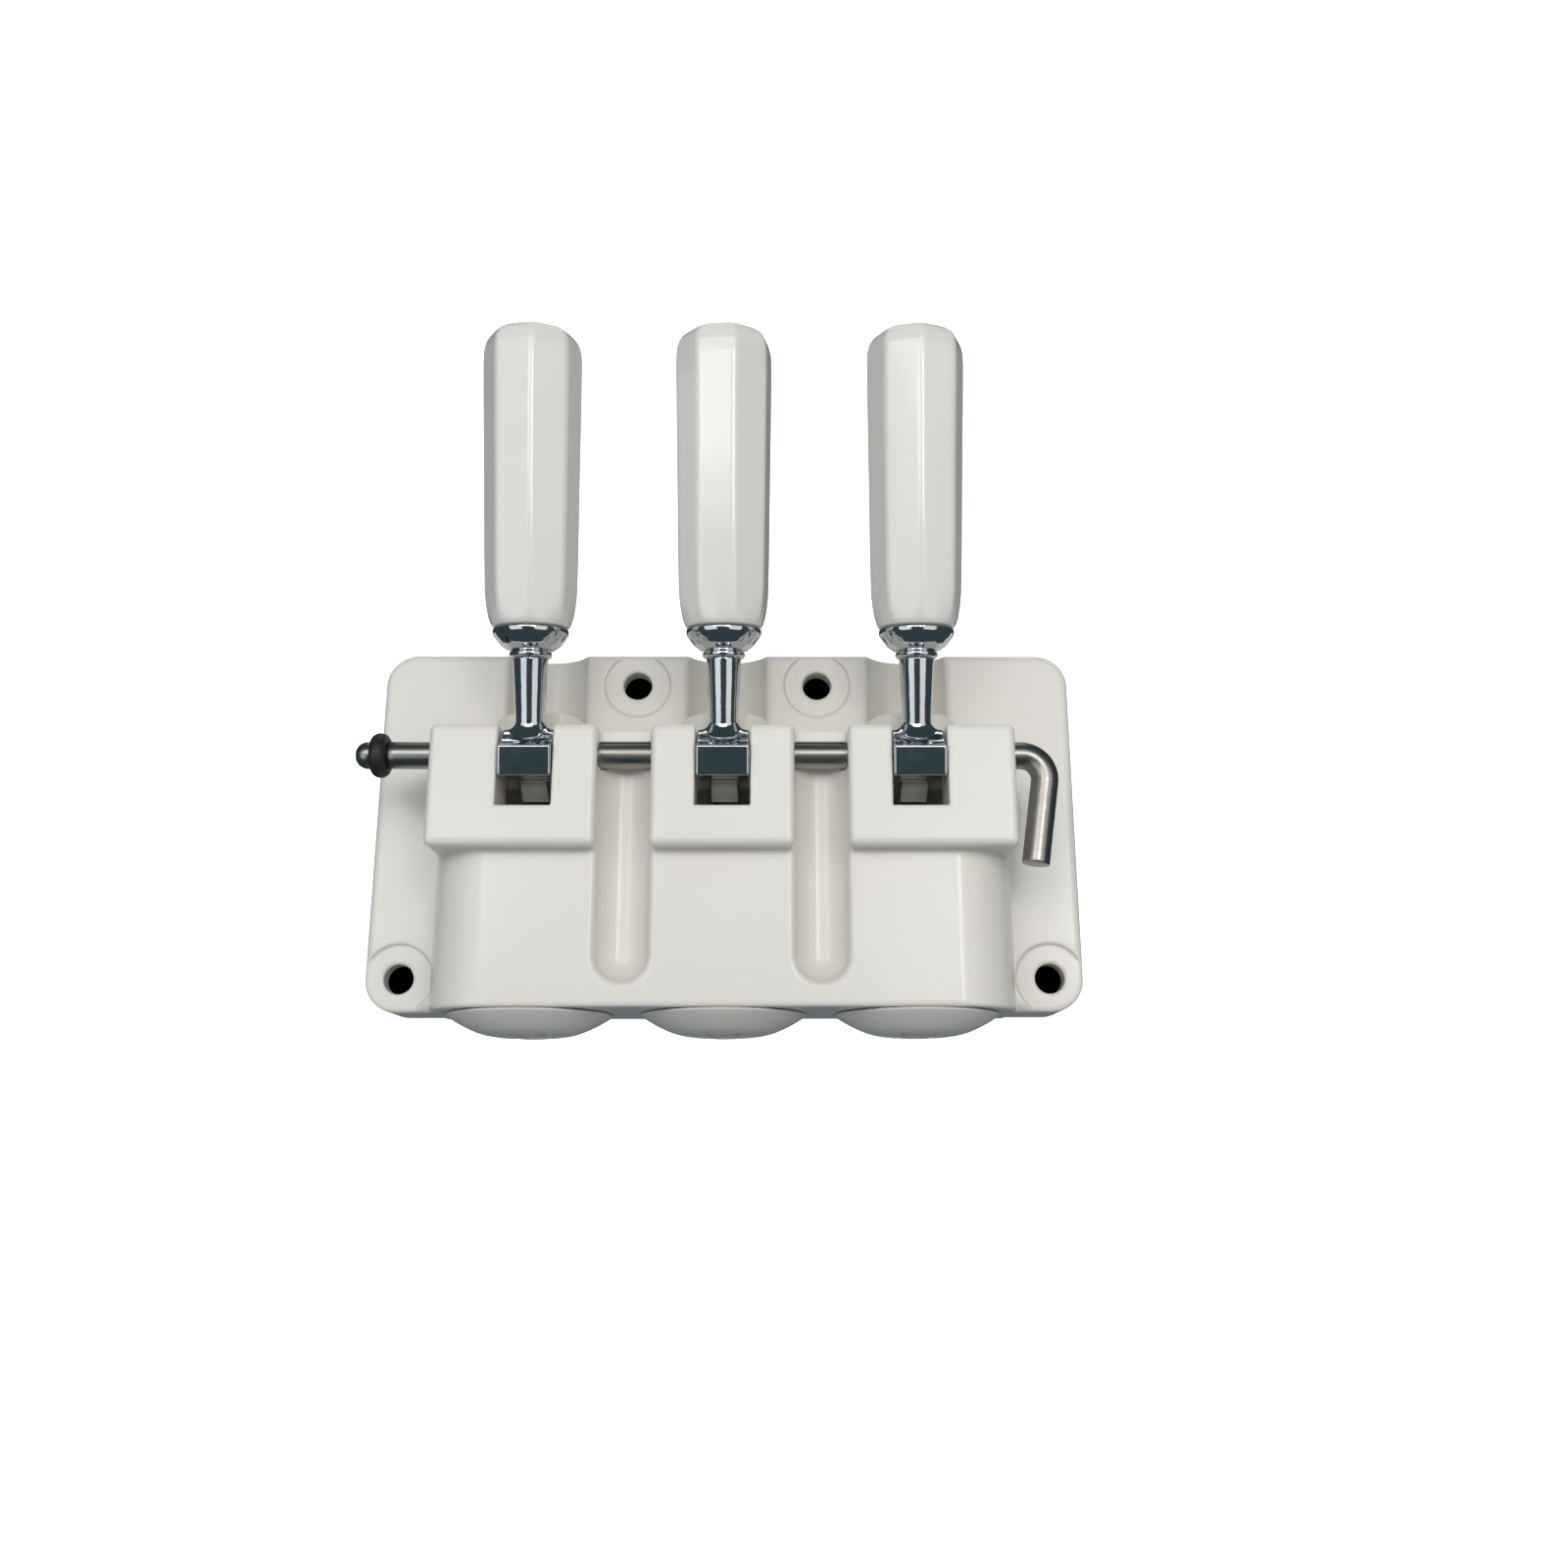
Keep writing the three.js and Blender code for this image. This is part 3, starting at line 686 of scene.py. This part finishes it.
class Finish:
    """A node-built material on object coordinates, in metres."""

    def __init__(self, name, **sockets):
        self.material = bpy.data.materials.new(name)
        self.material.use_nodes = True
        self.tree = self.material.node_tree
        self.shader = self.tree.nodes["Principled BSDF"]
        for key, value in sockets.items():
            self.shader.inputs[key.replace("_", " ")].default_value = value
        self.place = self.tree.nodes.new("ShaderNodeTexCoord").outputs["Object"]
        self.height = None

    def node(self, kind, **values):
        made = self.tree.nodes.new(kind)
        for key, value in values.items():
            setattr(made, key, value)
        return made

    def link(self, a, b):
        self.tree.links.new(a, b)

    def noise(self, scale, stretch=(1, 1, 1), detail=3.0, rough=0.5):
        mapping = self.node("ShaderNodeMapping")
        mapping.inputs["Scale"].default_value = stretch
        self.link(self.place, mapping.inputs["Vector"])
        made = self.node("ShaderNodeTexNoise")
        made.inputs["Scale"].default_value = scale
        made.inputs["Detail"].default_value = detail
        made.inputs["Roughness"].default_value = rough
        self.link(mapping.outputs["Vector"], made.inputs["Vector"])
        return made.outputs["Fac"]

    def ramp(self, fac, stops):
        made = self.node("ShaderNodeValToRGB")
        ramp = made.color_ramp
        while len(ramp.elements) < len(stops):
            ramp.elements.new(0.5)
        for element, (at, colour) in zip(ramp.elements, stops):
            element.position = at
            element.color = (*colour, 1)
        self.link(fac, made.inputs["Fac"])
        return made.outputs["Color"]

    def spread(self, fac, lo, hi):
        """The middle of a noise's range, stretched over lo to hi."""
        made = self.node("ShaderNodeMapRange")
        made.inputs["From Min"].default_value = 0.3
        made.inputs["From Max"].default_value = 0.7
        made.inputs["To Min"].default_value = lo
        made.inputs["To Max"].default_value = hi
        self.link(fac, made.inputs["Value"])
        return made.outputs["Result"]

    def bump(self, fac, depth, strength=1.0):
        made = self.node("ShaderNodeBump")
        made.inputs["Strength"].default_value = strength
        made.inputs["Distance"].default_value = depth
        self.link(fac, made.inputs["Height"])
        if self.height is not None:
            self.link(self.height, made.inputs["Normal"])
        self.height = made.outputs["Normal"]
        self.link(self.height, self.shader.inputs["Normal"])


def moulded(name, colour, roughness, streaks, coat=0.0, coat_roughness=0.1):
    """Cream plastic. Its roughness is even; the colour and a fine relief vary."""
    gloss = dict(Roughness=roughness, IOR=1.49, Coat_Weight=coat, Coat_Roughness=coat_roughness)
    f = Finish(name, Subsurface_Weight=0.06, Subsurface_Scale=0.004, **gloss)
    f.shader.inputs["Subsurface Radius"].default_value = (1.0, 0.8, 0.55)
    light = tuple(min(1, c * 1.01) for c in colour)
    dark = tuple(c * k for c, k in zip(colour, (0.975, 0.968, 0.95)))
    base = f.ramp(f.noise(18, detail=3), [(0.25, dark), (0.75, light)])
    f.link(base, f.shader.inputs["Base Color"])
    f.bump(f.noise(45, detail=2), 0.00012, 0.5)
    f.bump(f.noise(30, streaks, detail=3), 0.00003, 0.35)
    f.bump(f.noise(700, detail=1), 0.00001, 0.3)
    return f.material


def plated(name):
    f = Finish(name, Metallic=1.0)
    tones = [(0.3, (0.60, 0.62, 0.65)), (0.7, (0.68, 0.70, 0.72))]
    base = f.ramp(f.noise(60, detail=3), tones)
    f.link(base, f.shader.inputs["Base Color"])
    f.link(f.spread(f.noise(150, detail=5, rough=0.65), 0.03, 0.13), f.shader.inputs["Roughness"])
    f.bump(f.noise(170, detail=2), 0.00010, 0.35)
    f.bump(f.noise(520, detail=2), 0.00004, 0.45)
    f.bump(f.noise(1600, detail=2), 0.00001, 0.4)
    return f.material


def drawn_bar(name):
    f = Finish(name, Metallic=1.0)
    tones = [(0.3, (0.35, 0.335, 0.305)), (0.7, (0.42, 0.405, 0.375))]
    base = f.ramp(f.noise(40, (0.3, 3, 3), detail=4), tones)
    f.link(base, f.shader.inputs["Base Color"])
    f.link(f.spread(f.noise(120, (0.4, 6, 6), detail=4), 0.26, 0.36), f.shader.inputs["Roughness"])
    f.bump(f.noise(60, (0.5, 8, 8), detail=2), 0.000004, 0.3)
    return f.material


def rubbery(name):
    f = Finish(name, Specular_IOR_Level=0.4)
    tones = [(0.3, (0.010, 0.010, 0.011)), (0.7, (0.022, 0.022, 0.024))]
    base = f.ramp(f.noise(200, detail=3), tones)
    f.link(base, f.shader.inputs["Base Color"])
    f.link(f.spread(f.noise(300, detail=4), 0.38, 0.6), f.shader.inputs["Roughness"])
    f.bump(f.noise(1800, detail=2), 0.00002, 0.5)
    return f.material


FINISHES = {
    "moulding": moulded("cream_moulding", (0.685, 0.655, 0.588), 0.28, (0.5, 2, 22), 0.2),
    "nozzle": moulded("cream_nozzle", (0.70, 0.668, 0.60), 0.28, (2, 2, 20), 0.2),
    "plunger": moulded("cream_plunger", (0.71, 0.68, 0.60), 0.36, (1, 1, 40)),
    "grip": moulded("grip_plastic", (0.725, 0.71, 0.645), 0.15, (6, 6, 1), 0.6, 0.06),
    "chrome": plated("chrome_plate"),
    "stainless": drawn_bar("drawn_stainless"),
    "rubber": rubbery("black_rubber"),
}
for obj in PIECES.values():
    obj.data.materials.clear()
    obj.data.materials.append(FINISHES[obj["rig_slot"]])

# ---- stage -----------------------------------------------------------------------------------


def stage_mesh(name, verts, faces, material):
    mesh = bpy.data.meshes.new(name)
    mesh.from_pydata(verts, [], faces)
    mesh.shade_smooth()
    mesh.materials.append(material)
    obj = bpy.data.objects.new(name, mesh)
    bpy.context.scene.collection.objects.link(obj)
    return obj


def cyclorama():
    """A pale floor that sweeps up into a wall behind the object."""
    floor_z, front, turn_y, radius, top, half = -0.42, -1.6, 0.55, 0.5, 1.7, 2.6
    line = [(front, floor_z), (turn_y, floor_z)]
    for a in np.linspace(0, math.pi / 2, 24)[1:]:
        line.append((turn_y + radius * math.sin(a), floor_z + radius * (1 - math.cos(a))))
    line.append((turn_y + radius, top))
    verts = [(x, y, z) for y, z in line for x in (-half, half)]
    faces = [(2 * i, 2 * i + 1, 2 * i + 3, 2 * i + 2) for i in range(len(line) - 1)]
    grey = (0.9, 0.9, 0.9, 1)
    pale = Finish("pale_backdrop", Roughness=0.9, Base_Color=grey, Specular_IOR_Level=0.1)
    pale.shader.inputs["Emission Color"].default_value = (1, 1, 1, 1)
    pale.shader.inputs["Emission Strength"].default_value = 0.85
    floor = stage_mesh("studio_floor", verts, faces, pale.material)
    floor.visible_glossy = False
    floor.visible_diffuse = False


def glowing(name, colour, strength):
    f = Finish(name, Base_Color=(0, 0, 0, 1), Roughness=1.0, Specular_IOR_Level=0.0)
    f.shader.inputs["Emission Color"].default_value = (*colour, 1)
    f.shader.inputs["Emission Strength"].default_value = strength
    return f.material


def room(name, half, material, seen_by):
    """A closed box round the stage that only one kind of ray can see."""
    verts = [(x, y, z) for z in (-half, half) for y in (-half, half) for x in (-half, half)]
    faces = [(0, 2, 3, 1), (4, 5, 7, 6), (0, 1, 5, 4), (2, 6, 7, 3), (0, 4, 6, 2), (1, 3, 7, 5)]
    walls = stage_mesh(name, verts, faces, material)
    walls.data.shade_flat()
    for ray in ("camera", "diffuse", "glossy", "transmission", "volume_scatter", "shadow"):
        setattr(walls, "visible_" + ray, ray == seen_by)


def paint_hole_shade():
    """Black discs in the stud holes: painted shade, as if the machine's wall stopped the light."""
    black = glowing("hole_shadow", (0, 0, 0), 0.0)
    sides, r, y = 32, STUD_R - 0.05, -13.5
    angle = np.arange(sides) * 2 * math.pi / sides
    for i, (x, z) in enumerate(STUDS):
        verts = [((x + r * math.cos(a)) * MM, y * MM, (z + r * math.sin(a)) * MM) for a in angle]
        stage_mesh(f"hole_shadow_{i}", verts, [tuple(range(sides))], black)


def softbox(name, spot, aim, size, watts, mirrored=True, colour=(1, 1, 1)):
    """A rectangular lamp at spot, facing aim; mirrored says whether reflections show it."""
    data = bpy.data.lights.new(name, "AREA")
    data.color = colour
    data.shape = "RECTANGLE"
    data.size, data.size_y = size
    data.energy = watts
    lamp = bpy.data.objects.new(name, data)
    lamp.location = spot
    lamp.rotation_euler = (Vector(aim) - Vector(spot)).to_track_quat("-Z", "Y").to_euler()
    lamp.visible_glossy = mirrored
    lamp.visible_camera = False
    bpy.context.scene.collection.objects.link(lamp)


CAMERA_AT = Vector((14.5, -439.9, -96.45)) * MM
CAMERA_PITCH = math.radians(14.72)
CAMERA_YAW = math.radians(0.46)
CAMERA_LENS = 31.91


def camera():
    data = bpy.data.cameras.new("camera")
    data.lens = CAMERA_LENS
    data.sensor_width = 36
    data.clip_start = 0.01
    obj = bpy.data.objects.new("camera", data)
    level = Matrix(((1, 0, 0), (0, 0, 1), (0, -1, 0)))
    pitch, yaw = Matrix.Rotation(-CAMERA_PITCH, 3, "X"), Matrix.Rotation(CAMERA_YAW, 3, "Y")
    obj.matrix_world = Matrix.Translation(CAMERA_AT) @ (yaw @ pitch @ level).transposed().to_4x4()
    bpy.context.scene.collection.objects.link(obj)
    bpy.context.scene.camera = obj


def studio():
    world = bpy.data.worlds.new("studio")
    bpy.context.scene.world = world
    world.use_nodes = True
    back = world.node_tree.nodes["Background"]
    back.inputs["Color"].default_value = (0.80, 0.87, 1.0, 1)
    back.inputs["Strength"].default_value = 0.40
    softbox("key", (0.12, -1.7, 0.65), (0, 0, 0), (1.6, 1.2), 6.6, mirrored=False)
    softbox("band", (-0.13, -1.45, 0.40), (0, 0, 0), (1.3, 0.6), 4.8)
    panel, cool, warm = (1.0, 1.5), (0.94, 0.98, 1.0), (1.0, 0.965, 0.90)
    softbox("panel_left", (-0.92, -1.18, -0.12), (0, 0, 0), panel, 4.5, colour=cool)
    softbox("panel_right", (0.92, -1.18, -0.12), (0, 0, 0), panel, 4.2, colour=warm)
    softbox("glint", (0.25, -1.6, 0.20), (0, 0, 0.09), (0.16, 0.30), 0.4)
    softbox("side_glint", (0.52, -1.6, 0.26), (0, 0, 0.03), (0.13, 0.34), 2.0)
    softbox("sheen", (-0.55, -1.5, 0.27), (0, 0, 0.09), (0.40, 0.20), 0.5)
    softbox("back", (0.5, 0.95, 0.7), (0, 0, 0), (1.0, 1.0), 7, mirrored=False)
    softbox("ceiling", (0, 0.25, 1.5), (0, 0, 0), (0.9, 0.5), 2.0)


cyclorama()
room("pale_surround", 3.1, glowing("pale_wall", (1, 1, 1), 1.0), "camera")
room("dark_room", 2.9, glowing("dim_wall", (0.52, 0.87, 1.0), 0.075), "glossy")
paint_hole_shade()
camera()
studio()
bpy.context.scene.view_settings.view_transform = "Standard"
